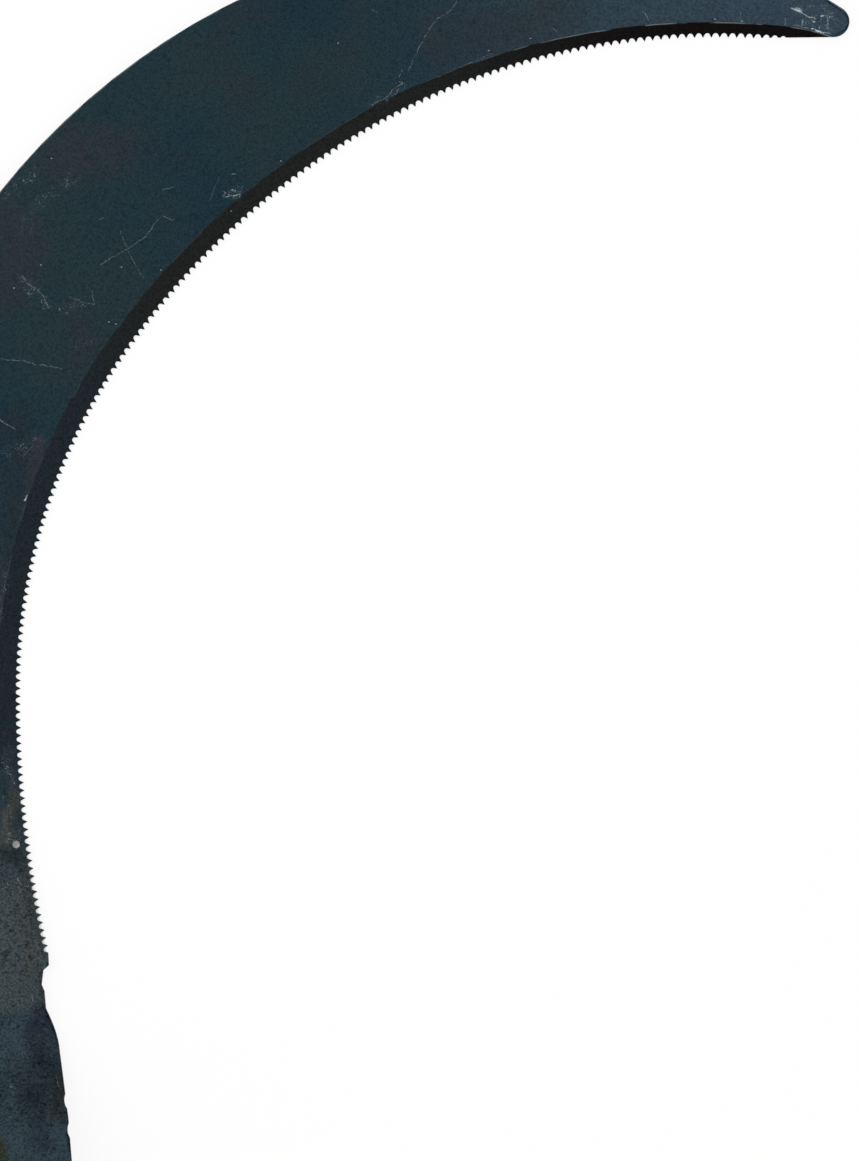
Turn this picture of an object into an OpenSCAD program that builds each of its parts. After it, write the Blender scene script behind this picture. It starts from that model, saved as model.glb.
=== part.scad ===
// Saw-toothed reaping sickle: a forged crescent blade with a cranked neck,
// riveted into the sawn slot of a turned hardwood handle behind a steel ferrule.
// It lies as it rests on a bench: the flat of the blade down, the handle along Y.
// Plan sizes are taken from the point where the handle's axis leaves the ferrule.

/* [Cutting edge] */
// Heel end of the edge, out from the handle's axis
heel_x = 8.1; // [7:0.1:11]
// Heel end of the edge, ahead of the ferrule
heel_y = 52.4; // [48:0.1:70]
// Lean of the edge at the heel, away from the handle's axis, in degrees
heel_lean = 7.8; // [4:0.1:12]
// Radius of the edge next to the heel
heel_arc_r = 258; // [200:1:320]
// Turn of the edge next to the heel, in degrees
heel_arc_turn = 13.4; // [10:0.1:17]
// Radius of the lower edge
lower_arc_r = 132; // [115:1:150]
// Turn of the lower edge, in degrees
lower_arc_turn = 33.4; // [29:0.1:38]
// Radius of the edge round the crown
crown_arc_r = 170; // [150:1:190]
// Turn of the edge round the crown, in degrees
crown_arc_turn = 26.1; // [22:0.1:30]
// Radius of the edge towards the tip
tip_arc_r = 156.4; // [140:0.1:180]
// Turn of the edge towards the tip, in degrees
tip_arc_turn = 29.3; // [25:0.1:33]

/* [Blade width] */
// Width across the blade at the heel
heel_w = 24.2; // [20:0.1:28]
// Width across the blade at its belly
belly_w = 44.6; // [38:0.1:50]
// Width across the blade where the edge runs out straight
tip_w = 20.2; // [17:0.1:24]
// Radius of the back as it drops to the nose
tip_back_r = 100; // [90:1:115]
// Direction, from the back's centre, in which the back starts to drop, in degrees
tip_back_from = 73.2; // [68:0.1:78]
// Radius of the nose
nose_r = 3.5; // [2.5:0.1:5]

/* [Blade section] */
// Thickness of the blade at the neck's side
blade_t = 2.1; // [1.8:0.1:2.6]
// Thickness of the blade at the nose
tip_t = 1.4; // [1:0.1:1.7]
// Thickness left at the tips of the teeth
edge_t = 0.5; // [0.3:0.05:0.8]
// Angle of the grind on the upper face, in degrees
bevel_angle = 15.6; // [12:0.1:20]
// Radius on which the grind leaves the edge at the nose
bevel_exit_r = 36; // [25:1:60]

/* [Teeth] */
// Distance from tooth to tooth at the heel
heel_pitch = 1.765; // [1.5:0.005:3]
// Distance from tooth to tooth halfway along the edge
crown_pitch = 1.79; // [1.5:0.005:3]
// Distance from tooth to tooth at the tip
tip_pitch = 1.905; // [1.5:0.005:3]
// Depth of the gullets
tooth_depth = 1.2; // [0.8:0.05:1.5]
// Radius at the bottom of the gullets at the heel
heel_gullet_r = 0.5; // [0.4:0.05:0.7]
// Radius at the bottom of the gullets at the tip
tip_gullet_r = 0.65; // [0.4:0.05:0.7]
// Flare of the gullets' sides at the heel, in degrees
heel_flare = 27; // [25:1:30]
// Flare of the gullets' sides at the tip, in degrees
tip_flare = 30; // [25:1:34]
// Lean of the teeth towards the heel, in degrees
tooth_lean = 2; // [0:1:8]
// Distance from the heel to the first gullet
first_gullet = 0.6; // [0.4:0.1:0.8]
// Length over which the teeth fade out past the last arc
teeth_fade = 17.5; // [10:0.5:22]

/* [Neck] */
// Width of the neck at the ferrule
neck_w = 18.8; // [15:0.1:19]
// Thickness of the neck and tang
neck_t = 3; // [2.7:0.1:4]
// Radius of the sweep from the neck into the back
neck_sweep_r = 40; // [30:1:60]
// Radius of the two bends that raise the neck to the handle
crank_r = 30; // [24:1:36]
// Straight neck between the ferrule and the first bend
crank_from = 3; // [2:0.5:6]
// Plain edge between the choil and the first tooth
heel_land = 3; // [1.5:0.1:4]
// How far the plain edge stands back from the tips of the teeth
heel_land_back = 0.3; // [0.2:0.1:0.5]
// Turn of the plain edge back from the line of the teeth, in degrees
heel_land_turn = 9.6; // [5:0.1:14]
// How far the choil cuts in behind the plain edge
choil_depth = 2; // [1.5:0.1:3]
// Length of the choil down to its deepest
choil_len = 4.2; // [3:0.1:6]
// Length of the choil's slanting upper end
choil_slant = 1; // [0.6:0.1:1.5]
// Step back out below the choil's deepest
choil_step = 0.5; // [0.3:0.1:0.8]
// Upright side of the neck below the choil
choil_side = 3.9; // [2:0.1:6]
// Width of half the neck at its shoulder
shoulder_w = 8.5; // [8:0.1:8.8]
// Distance of the shoulder from the ferrule
shoulder_at = 30; // [28:0.5:33]
// Distance from the ferrule at which the neck has its full width
neck_full_at = 15; // [10:1:22]
// Distance of the lower dent in the neck's edge from the ferrule
low_dent_at = 12.4; // [9:0.1:14]
// Distance of the upper dent in the neck's edge from the ferrule
high_dent_at = 19; // [18:0.1:24]
// Depth of the dents
dent_depth = 0.4; // [0.2:0.1:0.8]
// Radius of the dents
dent_r = 3.5; // [2.5:0.1:5]
// Even neck between the upper bend and the thinning
neck_even = 3; // [1:0.5:8]
// Length over which the neck thins to the blade
neck_thinning = 45; // [30:1:60]
// Diameter of the small hole near the heel
peg_hole_d = 1.7; // [1:0.1:2.5]
// Distance of the small hole along the edge from the heel
peg_hole_from_heel = 24.9; // [20:0.1:40]
// Distance of the small hole in from the edge
peg_hole_inset = 3.2; // [3:0.1:6]

/* [Tang] */
// Length of the tang in the handle
tang_len = 68; // [64:1:80]
// Width of the tang at its rounded end
tang_end_w = 12; // [10:0.5:14]

/* [Ferrule] */
// Length of the ferrule
ferrule_len = 14; // [10:0.5:18]
// Outer radius of the ferrule
ferrule_r = 12.4; // [12:0.1:13.5]
// Wall of the ferrule
ferrule_wall = 1.2; // [0.8:0.1:1.5]
// Depth of the lip turned in over the wood at the front
ferrule_lip = 0.8; // [0.4:0.1:1]

/* [Handle] */
// Length of the handle with its ferrule
handle_len = 132; // [122:1:150]
// Radius at the waist behind the ferrule
waist_r = 11.4; // [11:0.1:13]
// Distance of the waist from the ferrule's front
waist_at = 30; // [26:1:36]
// Radius at the palm swell
palm_r = 14; // [12.5:0.1:16]
// Distance of the palm swell from the ferrule's front
palm_at = 76; // [66:1:84]
// Radius at the little finger's waist
rear_waist_r = 12.2; // [11:0.1:14]
// Distance of the little finger's waist from the ferrule's front
rear_waist_at = 104; // [98:1:108]
// Radius of the butt
butt_r = 14.4; // [12.5:0.1:16]
// Length of the butt's rounded end
butt_round = 9; // [6:0.5:12]
// Diameter of the hanging hole
hang_hole_d = 6; // [4:0.5:8]
// Distance of the hanging hole from the butt's end
hang_hole_from_end = 15; // [12:0.5:20]

/* [Rivets] */
// Diameter of the rivets
rivet_d = 4; // [3:0.1:5]
// Distance of the front rivet from the ferrule's front
rivet_at = 24; // [21:0.5:26]
// Distance between rivets
rivet_gap = 16; // [14:0.5:18]
// Diameter of the burrs under the rivets' heads
burr_d = 9; // [8:0.1:10]
// Thickness of the burrs
burr_t = 1; // [0.8:0.1:1.5]
// Diameter of the rivets' heads
rivet_head_d = 6.8; // [6:0.1:7.6]
// Height of the rivets' heads
rivet_head_h = 1.3; // [1:0.1:1.8]
// Diameter of the brads that hold the ferrule
brad_d = 1.4; // [1:0.1:2]
// Length of the brads
brad_len = 8; // [6:0.5:9]
// Diameter of the brads' heads
brad_head_d = 2.8; // [2.4:0.1:4]
// Height of the brads' heads
brad_head_h = 0.7; // [0.4:0.1:1]

/* [Fits] */
// Clearance round the tang, the ferrule, the rivets and the brads
fit = 0.1; // [0.05:0.01:0.2]

/* [Hidden] */
$fn = 96;
// Slack past a face that a cut runs through
past = 1;

function dir(a) = [cos(a), sin(a)];
function angle_of(v) = atan2(v[1], v[0]);
function ease(a, b, t) = a + (b - a) * (1 - cos(180 * t)) / 2;
function as_degrees(length, r) = length / r * 180 / PI;

// The edge is a chain of arcs that starts at the heel and turns to the right
edge_r = [heel_arc_r, lower_arc_r, crown_arc_r, tip_arc_r];
edge_turn = [heel_arc_turn, lower_arc_turn, crown_arc_turn, tip_arc_turn];
function heading(i) = i == 0 ? 90 + heel_lean : heading(i - 1) - edge_turn[i - 1];
function centre(i) = joint(i) + edge_r[i] * dir(heading(i) - 90);
function joint(i) = i == 0 ? [heel_x, heel_y] : centre(i - 1) + edge_r[i - 1] * dir(heading(i) + 90);
function edge_len(i) = edge_r[i] * edge_turn[i] * PI / 180;
function on_arc(s, i = 0) = i < 3 && s > edge_len(i) ? on_arc(s - edge_len(i), i + 1) : [i, s];
toothed_len = edge_len(0) + edge_len(1) + edge_len(2) + edge_len(3) + teeth_fade;

// The pitch is a parabola through its three driving values, and Simpson's rule gives its mean
mean_pitch = (heel_pitch + 4 * crown_pitch + tip_pitch) / 6;
gaps = floor((toothed_len - first_gullet) / mean_pitch);
function pitch_sum(t) = heel_pitch * t
  + (4 * crown_pitch - 3 * heel_pitch - tip_pitch) * t ^ 2 / 2
  + (heel_pitch - 2 * crown_pitch + tip_pitch) * t ^ 3 * 2 / 3;
function gullet_at(k) = first_gullet + gaps * pitch_sum(k / gaps);

// The back is the circle through three points set off from the edge by the blade's widths
function circle_centre(a, b, c) =
  let (u = b - a, v = c - a, d = 2 * (u[0] * v[1] - u[1] * v[0]))
  a + [v[1] * (u * u) - u[1] * (v * v), u[0] * (v * v) - v[0] * (u * u)] / d;
back_at_heel = joint(0) + heel_w * dir(heading(0) + 90);
back_at_belly = joint(2) + belly_w * dir(heading(2) + 90);
back_at_tip = joint(4) + tip_w * dir(heading(4) + 90);
back_c = circle_centre(back_at_heel, back_at_belly, back_at_tip);
back_r = norm(back_at_belly - back_c);

// The nose rounds the corner between the dropping back and the straight end of the edge
drop_c = back_c + (back_r - tip_back_r) * dir(tip_back_from);
land_dir = dir(heading(4));
land_up = dir(heading(4) + 90);
to_land = joint(4) + nose_r * land_up - drop_c;
land_len = -to_land * land_dir
  + sqrt((to_land * land_dir) ^ 2 - to_land * to_land + (tip_back_r - nose_r) ^ 2);
nose_foot = joint(4) + land_len * land_dir;
nose_c = nose_foot + nose_r * land_up;
nose_from = angle_of(nose_c - drop_c);

// A tighter arc runs on a little inside its wider neighbour, so that their cuts share no border
overlap = 2;
function lap(i, j) = edge_r[i] < edge_r[j] ? overlap : 0;
function arc_from(i) = heading(i + 1) + 90 - (i < 3 ? lap(i, i + 1) : 0);
function arc_to(i) = heading(i) + 90 + (i > 0 ? lap(i, i - 1) : 0);
// Its grind is a hair shallower too, once for each arc that is wider
grind_step = 0.01;
function ground_r(r) = r + grind_step * len([for (wider = edge_r) if (wider > r) wider]);

// The neck sweeps into the back on a circle that touches both
sweep_x = -neck_w / 2 - neck_sweep_r;
sweep_reach = back_r + neck_sweep_r;
sweep_c = [sweep_x, back_c[1] - sqrt(sweep_reach ^ 2 - (back_c[0] - sweep_x) ^ 2)];
sweep_dir = angle_of(sweep_c - back_c) + 360;
sweep_end = back_c + back_r * dir(sweep_dir);

// The choil, from its upper end to the side of the neck below it
land_start = joint(0) + heel_land_back * dir(heading(0) + 90);
land_end = land_start + heel_land * dir(heading(0) + 180 - heel_land_turn);
choil_top = land_end - [choil_depth * 2 / 3, choil_slant];
choil = land_end - [choil_depth, choil_len];
choil_foot = choil + choil_step * [1, -3];
side_foot = choil_foot - [0, choil_side];

// The whole sickle's corners in plan
low_corner = [back_c[0] - back_r, -handle_len];
high_corner = [nose_c[0] + nose_r, back_c[1] + back_r];
// Longer than the whole sickle
beyond = handle_len + 2 * back_r;

// The handle's radius at a distance behind the ferrule's front
butt_at = handle_len - butt_round;
function grip_r(y) =
  y < waist_at ? ease(ferrule_r, waist_r, (y - ferrule_len) / (waist_at - ferrule_len)) :
  y < palm_at ? ease(waist_r, palm_r, (y - waist_at) / (palm_at - waist_at)) :
  y < rear_waist_at ? ease(palm_r, rear_waist_r, (y - palm_at) / (rear_waist_at - palm_at)) :
  y < butt_at ? ease(rear_waist_r, butt_r, (y - rear_waist_at) / (butt_at - rear_waist_at)) :
  butt_r * sqrt(max(0, 1 - ((y - butt_at) / butt_round) ^ 2));
spigot_r = ferrule_r - ferrule_wall - fit;
slot_len = tang_len + past;
rivets_at = [rivet_at, rivet_at + rivet_gap, rivet_at + 2 * rivet_gap];
seat_r = burr_d / 2 + fit;
function seat_z(y) = sqrt(grip_r(y) ^ 2 - seat_r ^ 2) - fit;

// The handle's axis is high enough for the handle and its rivets to lie on the bench
rivets_reach = max([for (y = rivets_at) seat_z(y) + burr_t + rivet_head_h]);
axis_z = max(palm_r, butt_r, rivets_reach);
crank_rise = axis_z - neck_t / 2;
crank_angle = acos(1 - crank_rise / (2 * crank_r));
crank_to = crank_from + 2 * crank_r * sin(crank_angle);
thinning_to = crank_to + neck_even + neck_thinning;
taper_angle = atan((blade_t - tip_t) / (nose_c[0] + nose_r));

module placed() {
  translate([-(low_corner[0] + high_corner[0]) / 2, -(low_corner[1] + high_corner[1]) / 2, 0])
    children();
}

// A pie slice
module sector(c, r, from, to) {
  steps = ceil((to - from) / 45);
  fan = [for (i = [0:steps]) 2 * r * dir(from + (to - from) * i / steps)];
  translate(c)
    intersection() {
      circle(r, $fn = 360);
      polygon(concat([[0, 0]], fan));
    }
}

module neck_2d() {
  flare_steps = 8;
  flare_size = [shoulder_w - side_foot[0], side_foot[1] - shoulder_at];
  flare = [for (i = [flare_steps:-1:0]) side_foot + [
    flare_size[0] * sin(90 * i / flare_steps),
    -flare_size[1] * i / flare_steps
  ]];
  // A point inside the blade, past the end of the sweep
  inside = sweep_end + heel_w / 2 * dir(90);
  polygon(concat(
    [[-neck_w / 2, 0], [neck_w / 2, 0], [neck_w / 2, neck_full_at]],
    flare,
    [choil_foot, choil, [heel_x + past, choil[1]], inside + [heel_w, heel_w / 2], [-neck_w / 2, inside[1]]]
  ));
  tang_straight = tang_len - tang_end_w / 2;
  polygon([
    [-tang_end_w / 2, -tang_straight], [tang_end_w / 2, -tang_straight],
    [neck_w / 2, past], [-neck_w / 2, past]
  ]);
  translate([0, -tang_straight])
    circle(d = tang_end_w);
  difference() {
    polygon([sweep_c, [0, sweep_c[1]], inside + [heel_w / 2, 0], sweep_end]);
    translate(sweep_c)
      circle(neck_sweep_r, $fn = 180);
  }
}

module crescent_2d() {
  sector(back_c, back_r, tip_back_from, sweep_dir + overlap);
  sector(drop_c, tip_back_r, nose_from, tip_back_from + overlap);
  translate(nose_c)
    circle(nose_r);
  polygon([nose_c, joint(4) - past * land_up, nose_foot - past * land_up]);
}

module mouth_2d() {
  polygon([
    choil, choil_top, land_end, land_start, joint(0), joint(1), joint(2), joint(3), joint(4),
    nose_foot + beyond * land_dir, [beyond, 0], [beyond, -beyond]
  ]);
  for (i = [0:3])
    sector(centre(i), edge_r[i], arc_from(i), arc_to(i));
}

// The dents that the forging left in the neck's right edge
module dents_2d() {
  slope = (neck_w / 2 - shoulder_w) / (shoulder_at - neck_full_at);
  for (y = [low_dent_at, high_dent_at])
    translate([neck_w / 2 - slope * max(0, y - neck_full_at) - dent_depth + dent_r, y])
      circle(dent_r);
}

// The sides start a little inside the round bottom, so that they cross it at a clear angle
module gullet_2d(r, flare) {
  inset = 0.03;
  reach = tooth_depth;
  half = r * cos(flare) - inset;
  deep = r * sin(flare);
  mouth = half + (reach + deep) * tan(flare);
  circle(r, $fn = 24);
  polygon([[deep, half], [-reach, mouth], [-reach, -mouth], [deep, -half]]);
}

module gullets_2d() {
  for (k = [0:gaps]) {
    at = on_arc(gullet_at(k));
    i = at[0];
    r = heel_gullet_r + (tip_gullet_r - heel_gullet_r) * k / gaps;
    translate(centre(i))
      rotate(heading(i) + 90 - as_degrees(at[1], edge_r[i]))
        translate([edge_r[i] + tooth_depth - r, 0])
          rotate(-tooth_lean)
            gullet_2d(r, heel_flare + (tip_flare - heel_flare) * k / gaps);
  }
}

module blade_2d() {
  difference() {
    union() {
      neck_2d();
      crescent_2d();
    }
    mouth_2d();
    gullets_2d();
    dents_2d();
  }
}

// Side view of the neck and the blade, across the whole width
module side_profile() {
  rotate([90, 0, 90])
    linear_extrude(2 * beyond, center = true) {
      translate([-tang_len - past, axis_z - neck_t / 2])
        square([tang_len + past + crank_from, neck_t]);
      difference() {
        sector([crank_from, axis_z - crank_r], crank_r + neck_t / 2, 90 - crank_angle, 90);
        translate([crank_from, axis_z - crank_r])
          circle(crank_r - neck_t / 2, $fn = 360);
      }
      difference() {
        sector([crank_to, neck_t / 2 + crank_r], crank_r + neck_t / 2, 270 - crank_angle, 270);
        translate([crank_to, neck_t / 2 + crank_r])
          circle(crank_r - neck_t / 2, $fn = 360);
      }
      translate([crank_to, 0])
        square([beyond, neck_t]);
    }
}

// What the forging takes off the upper face, thinning it past the neck and towards the nose
module thinning_cut() {
  slope = (neck_t - blade_t) / neck_thinning;
  translate([0, 0, blade_t])
    rotate([0, taper_angle, 0])
      translate([0, 0, -blade_t])
        rotate([90, 0, 90])
          linear_extrude(2 * beyond, center = true)
            polygon([
              [crank_to, blade_t + slope * (thinning_to - crank_to)], [thinning_to, blade_t],
              [beyond, blade_t], [beyond, 2 * neck_t], [crank_to, 2 * neck_t]
            ]);
}

// What the grind takes off the upper face along one arc of the edge
module grind(c, r, from, to) {
  rise = tan(bevel_angle);
  out = (neck_t + past - edge_t) / rise;
  translate(c)
    rotate(from)
      rotate_extrude(angle = to - from, $fn = 360)
        polygon([
          [r - past, edge_t - past * rise],
          [r + out, edge_t + out * rise],
          [r - past, edge_t + out * rise]
        ]);
}

module grinds() {
  fade_turn = as_degrees(teeth_fade, tip_arc_r);
  fade_to = heading(4) + 90 - fade_turn;
  exit_turn = 45;
  grind(centre(1), ground_r(lower_arc_r), arc_from(1), arc_to(1) + 2 * heel_arc_turn);
  grind(centre(2), ground_r(crown_arc_r), arc_from(2), arc_to(2));
  grind(centre(3), ground_r(tip_arc_r), fade_to, arc_to(3));
  grind(
    centre(3) + (tip_arc_r - bevel_exit_r) * dir(fade_to), ground_r(bevel_exit_r),
    fade_to - exit_turn, fade_to + overlap
  );
}

module blade() {
  color([0.15, 0.2, 0.23])
    placed()
      difference() {
        intersection() {
          linear_extrude(axis_z + neck_t)
            blade_2d();
          side_profile();
        }
        thinning_cut();
        grinds();
        translate(centre(0))
          rotate(heading(0) + 90 - as_degrees(peg_hole_from_heel, heel_arc_r))
            translate([heel_arc_r + peg_hole_inset, 0, -past])
              cylinder(d = peg_hole_d, h = neck_t + 2 * past);
        for (y = rivets_at)
          translate([0, -y, 0])
            cylinder(d = rivet_d + 2 * fit, h = 2 * axis_z);
      }
}

// Turns a profile drawn as radius and distance behind the ferrule's front about the handle's axis
module about_handle_axis() {
  translate([0, 0, axis_z])
    rotate([90, 0, 0])
      rotate_extrude()
        children();
}

module handle() {
  steps = 48;
  profile = [for (i = [0:steps]) let (y = ferrule_len + (butt_at - ferrule_len) * i / steps) [grip_r(y), y]];
  dome = [for (a = [10:10:90]) [butt_r * cos(a), butt_at + butt_round * sin(a)]];
  color([0.72, 0.5, 0.3])
    placed()
      difference() {
        about_handle_axis()
          polygon(concat(
            [[0, ferrule_wall + fit], [spigot_r, ferrule_wall + fit], [spigot_r, ferrule_len]],
            profile,
            dome
          ));
        translate([-ferrule_r - past, -slot_len, axis_z - neck_t / 2 - fit])
          cube([2 * (ferrule_r + past), slot_len, neck_t + 2 * fit]);
        for (y = rivets_at)
          translate([0, -y, axis_z]) {
            cylinder(d = rivet_d + 2 * fit, h = 2 * axis_z, center = true);
            for (under = [0, 1])
              mirror([0, 0, under])
                translate([0, 0, seat_z(y)])
                  cylinder(r = seat_r, h = axis_z);
          }
        for (under = [0, 1])
          translate([0, -ferrule_len / 2, axis_z])
            mirror([0, 0, under])
              translate([0, 0, ferrule_r - brad_len - fit])
                cylinder(d = brad_d + 2 * fit, h = brad_len);
        translate([0, hang_hole_from_end - handle_len, 0])
          cylinder(d = hang_hole_d, h = 2 * axis_z);
      }
}

module ferrule() {
  lip_r = spigot_r + fit - ferrule_lip;
  color([0.4, 0.42, 0.44])
    placed()
      difference() {
        about_handle_axis()
          polygon([
            [lip_r, 0], [ferrule_r - ferrule_wall, 0], [ferrule_r, ferrule_wall],
            [ferrule_r, ferrule_len], [spigot_r + fit, ferrule_len],
            [spigot_r + fit, ferrule_wall], [lip_r, ferrule_wall]
          ]);
        translate([0, -ferrule_len / 2, 0])
          cylinder(d = brad_d + 2 * fit, h = 2 * axis_z);
      }
}

// A shallow dome that stands on the XY plane, with a stub of its shank below it
module dome_head(r, h, shank_r) {
  ball_r = (r ^ 2 + h ^ 2) / (2 * h);
  rotate_extrude()
    intersection() {
      translate([0, h - ball_r])
        circle(ball_r, $fn = 180);
      square([r, h]);
    }
  cylinder(r = shank_r, h = h, center = true);
}

module rivet(y) {
  shoulder = seat_z(y) + burr_t;
  color([0.62, 0.6, 0.56])
    placed()
      translate([0, -y, axis_z]) {
        translate([0, 0, -shoulder])
          cylinder(d = rivet_d, h = 2 * shoulder);
        for (under = [0, 1])
          mirror([0, 0, under])
            translate([0, 0, shoulder])
              dome_head(rivet_head_d / 2, rivet_head_h, rivet_d / 2);
      }
}

module burr(y, side) {
  color([0.7, 0.55, 0.3])
    placed()
      translate([0, -y, axis_z + side * (seat_z(y) + burr_t / 2)])
        difference() {
          cylinder(d = burr_d, h = burr_t, center = true);
          cylinder(d = rivet_d + 2 * fit, h = 2 * burr_t, center = true);
        }
}

module ferrule_brad(side) {
  color([0.5, 0.5, 0.5])
    placed()
      translate([0, -ferrule_len / 2, axis_z])
        mirror([0, 0, side < 0 ? 1 : 0])
          translate([0, 0, ferrule_r]) {
            translate([0, 0, -brad_len])
              cylinder(d = brad_d, h = brad_len);
            dome_head(brad_head_d / 2, brad_head_h, brad_d / 2);
          }
}

blade();
handle();
ferrule();
rivet(rivets_at[0]);  // rivet_front
rivet(rivets_at[1]);  // rivet_middle
rivet(rivets_at[2]);  // rivet_rear
burr(rivets_at[0], 1);  // burr_front_top
burr(rivets_at[0], -1);  // burr_front_bottom
burr(rivets_at[1], 1);  // burr_middle_top
burr(rivets_at[1], -1);  // burr_middle_bottom
burr(rivets_at[2], 1);  // burr_rear_top
burr(rivets_at[2], -1);  // burr_rear_bottom
ferrule_brad(1);  // ferrule_brad_top
ferrule_brad(-1);  // ferrule_brad_bottom
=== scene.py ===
"""Looks of a saw-toothed reaping sickle: a blued forged blade riveted into a turned beech handle."""

import logging
import math
from dataclasses import dataclass
from enum import Enum

import bmesh
import bpy
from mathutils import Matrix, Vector


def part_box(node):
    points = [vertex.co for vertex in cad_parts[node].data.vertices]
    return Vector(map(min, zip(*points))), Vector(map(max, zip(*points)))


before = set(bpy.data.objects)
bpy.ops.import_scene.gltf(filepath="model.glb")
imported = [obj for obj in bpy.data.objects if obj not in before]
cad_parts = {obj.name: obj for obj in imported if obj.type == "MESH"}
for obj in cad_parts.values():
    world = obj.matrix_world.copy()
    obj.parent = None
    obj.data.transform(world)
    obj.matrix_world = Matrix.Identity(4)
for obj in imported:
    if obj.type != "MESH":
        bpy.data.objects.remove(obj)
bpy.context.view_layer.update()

MM = 0.001
# Socket numbers of a Mix node, which has some for numbers and others for colours
MIX_FACTOR, MIX_LOW, MIX_HIGH = 0, 2, 3
MIX_UNDER, MIX_OVER, MIX_COLOUR = 6, 7, 2
log = logging.getLogger("sickle")

Socket = bpy.types.NodeSocket
Tree = bpy.types.NodeTree
Value = float | tuple | Socket


class Slot(Enum):
    """The record's material slots."""

    BLADE = "blade_steel"
    HANDLE = "handle_wood"
    FERRULE = "ferrule_steel"
    RIVET = "rivet_steel"
    BURR = "burr_brass"


def linear(code: str) -> tuple[float, float, float, float]:
    """Turns an sRGB hex colour to linear.

    Args:
        code: The colour as #rrggbb.

    Returns:
        Red, green, blue and alpha, from 0 to 1.
    """
    parts = [int(code[i:i + 2], 16) / 255 for i in (1, 3, 5)]
    red, green, blue = [c / 12.92 if c <= 0.04045 else ((c + 0.055) / 1.055) ** 2.4 for c in parts]
    return red, green, blue, 1.0


def add_node(tree: Tree, kind: str, inputs: dict[str | int, Value] | None = None,
             out: str | int = 0, **settings: object) -> Socket:
    """Adds a node with its settings and links.

    Args:
        tree: The node tree that takes the node.
        kind: The node's type name.
        inputs: A value or an output socket for each input, by name or number.
        out: The output that is wanted, by name or number.
        settings: Properties of the node itself.

    Returns:
        The wanted output socket, or the first input of a node without outputs.
    """
    node = tree.nodes.new(kind)
    for name, value in settings.items():
        setattr(node, name, value)
    for key, value in (inputs or {}).items():
        if isinstance(value, Socket):
            tree.links.new(value, node.inputs[key])
        else:
            node.inputs[key].default_value = value
    return node.outputs[out] if node.outputs else node.inputs[0]


def joined(tree: Tree, operation: str, *values: Value) -> Value:
    """Joins any number of values, one after another.

    Args:
        tree: The node tree that takes the nodes.
        operation: How two values are joined, such as MULTIPLY, MAXIMUM or SUBTRACT.
        values: The values.

    Returns:
        What they give together.
    """
    total, *others = values
    for value in others:
        total = add_node(tree, "ShaderNodeMath", {0: total, 1: value}, operation=operation)
    return total


def new_material(name: str) -> bpy.types.Material:
    """Makes an empty node material.

    Args:
        name: The material's name.

    Returns:
        The material, with no nodes in it.
    """
    material = bpy.data.materials.new(name)
    material.use_nodes = True
    material.node_tree.nodes.clear()
    return material


@dataclass(frozen=True)
class Fade:
    """A number that goes from its first value to its last while a measured one goes from start to end."""

    start: float
    end: float
    first: float = 0.0
    last: float = 1.0

    def of(self, tree: Tree, value: Value) -> Socket:
        """Gives the number, which leaves its first value and reaches its last one gently.

        Args:
            tree: The material's node tree.
            value: The measured number.

        Returns:
            The number's socket.
        """
        return add_node(
            tree, "ShaderNodeMapRange",
            {"Value": value, "From Min": self.start, "From Max": self.end,
             "To Min": self.first, "To Max": self.last},
            interpolation_type="SMOOTHSTEP",
        )


@dataclass(frozen=True)
class Grain:
    """An uneven pattern from 0 to 1, whose cells have a real size."""

    size_mm: float
    # How many finer layers it holds
    detail: float = 3.0
    # How many times longer its cells are along each axis
    longer: tuple[float, float, float] = (1.0, 1.0, 1.0)

    def on(self, tree: Tree, place: Socket, out: str = "Fac") -> Socket:
        """Gives the pattern at a place.

        Args:
            tree: The material's node tree.
            place: The place in millimetres.
            out: Fac for one number or Color for three.

        Returns:
            The pattern's socket.
        """
        squeezed = add_node(tree, "ShaderNodeVectorMath", {0: place, 1: tuple(1 / n for n in self.longer)},
                            operation="MULTIPLY")
        return add_node(tree, "ShaderNodeTexNoise",
                        {"Vector": squeezed, "Scale": 1 / self.size_mm, "Detail": self.detail}, out=out)


@dataclass(frozen=True)
class Patches:
    """Patches that show where a grain is strong."""

    grain: Grain
    fade: Fade

    def on(self, tree: Tree, place: Socket) -> Socket:
        """Gives how strongly the patches show at a place."""
        return self.fade.of(tree, self.grain.on(tree, place))


@dataclass(frozen=True)
class Stray:
    """An uneven shift, which gives what is drawn through it an uneven outline."""

    grain: Grain
    # How far places stray along each axis, from end to end
    by_mm: tuple[float, float, float]

    def of(self, tree: Tree, place: Socket) -> Socket:
        """Gives the place that a place strays to.

        Args:
            tree: The material's node tree.
            place: The place in millimetres.

        Returns:
            The strayed place.
        """
        middle = (0.5, 0.5, 0.5)
        shift = add_node(tree, "ShaderNodeVectorMath", {0: self.grain.on(tree, place, "Color"), 1: middle},
                         operation="SUBTRACT")
        return add_node(tree, "ShaderNodeVectorMath", {0: shift, 1: self.by_mm, 2: place},
                        operation="MULTIPLY_ADD")


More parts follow.
